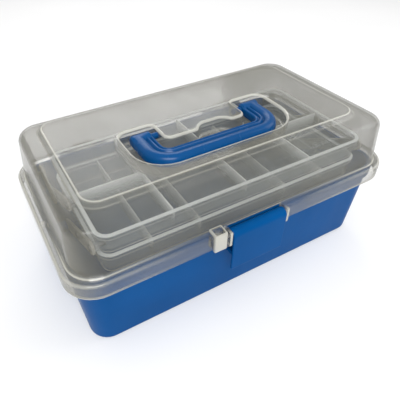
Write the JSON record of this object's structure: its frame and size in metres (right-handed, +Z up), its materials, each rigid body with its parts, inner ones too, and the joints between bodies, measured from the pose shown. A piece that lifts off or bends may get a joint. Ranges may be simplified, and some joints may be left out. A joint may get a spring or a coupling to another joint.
{
  "type": "art supply box",
  "caption": "Portable art supply box: a tub with a clear domed lid, a fold-down carry handle, a front latch and two trays that lift on arms as the lid opens.",
  "frame": {"origin": "middle of the box's footprint, on the surface it stands on", "axes": "+X along the box towards its right end, +Y from the latch to the hinge, +Z up"},
  "size_m": [0.33, 0.198, 0.14],
  "materials": {
    "tub": "satin",
    "handle": "satin",
    "latch": "satin",
    "lid": "frosted clear plastic",
    "tray": "clear plastic",
    "arm": "translucent plastic",
    "rivet": "dull",
    "steel": "satin"
  },
  "bodies": {
    "base": {"tub": "tub", "hinge_pin_left": "steel", "hinge_pin_right": "steel", "tub_rivets": "rivet"},
    "lid": {"lid": "lid", "latch_pin": "steel", "lid_rivets": "rivet"},
    "handle": {"handle": "handle"},
    "latch": {"latch": "latch"},
    "rear_arms": {"rear_arm_left": "arm", "rear_arm_right": "arm", "link_rivets": "rivet"},
    "front_arms": {"front_arm_left": "arm", "front_arm_right": "arm"},
    "lower_tray": {"lower_tray": "tray", "lower_tray_rivets": "rivet"},
    "upper_tray": {"upper_tray": "tray", "upper_tray_rivets": "rivet"},
    "lid_links": {"lid_link_left": "arm", "lid_link_right": "arm"}
  },
  "joints": [
    {"name": "lid_hinge", "type": "hinge", "parent": "base", "child": "lid", "pos_m": [0, 0.094, 0.082], "axis": [-1, 0, 0], "range_deg": [0, 100]},
    {"name": "handle_fold", "type": "hinge", "parent": "lid", "child": "handle", "pos_m": [0, 0.006, 0.134], "axis": [-1, 0, 0], "range_deg": [0, 95]},
    {"name": "latch_swing", "type": "hinge", "parent": "lid", "child": "latch", "pos_m": [0, -0.0932, 0.0858], "axis": [-1, 0, 0], "range_deg": [0, 100]},
    {"name": "rear_arm_swing", "type": "hinge", "parent": "base", "child": "rear_arms", "pos_m": [0, 0.068, 0.062], "axis": [-1, 0, 0], "range_deg": [0, 62.01]},
    {"name": "front_arm_swing", "type": "hinge", "parent": "base", "child": "front_arms", "pos_m": [0, 0.012, 0.062], "axis": [-1, 0, 0], "range_deg": [0, 62.01]},
    {"name": "lower_tray_level", "type": "hinge", "parent": "rear_arms", "child": "lower_tray", "pos_m": [0, 0.028, 0.084], "axis": [-1, 0, 0], "range_deg": [-62.01, 0]},
    {"name": "upper_tray_level", "type": "hinge", "parent": "rear_arms", "child": "upper_tray", "pos_m": [0, -0.012, 0.106], "axis": [-1, 0, 0], "range_deg": [-62.01, 0]},
    {"name": "lid_link_turn", "type": "hinge", "parent": "rear_arms", "child": "lid_links", "pos_m": [0, 0.03496, 0.08017], "axis": [-1, 0, 0], "range_deg": [-61.01, 0]}
  ],
  "couplings": [
    {"joint": "rear_arm_swing", "follows": "lid_hinge", "ratio": 0.62},
    {"joint": "front_arm_swing", "follows": "lid_hinge", "ratio": 0.62},
    {"joint": "lower_tray_level", "follows": "lid_hinge", "ratio": -0.62},
    {"joint": "upper_tray_level", "follows": "lid_hinge", "ratio": -0.62},
    {"joint": "lid_link_turn", "follows": "lid_hinge", "ratio": -0.61}
  ]
}
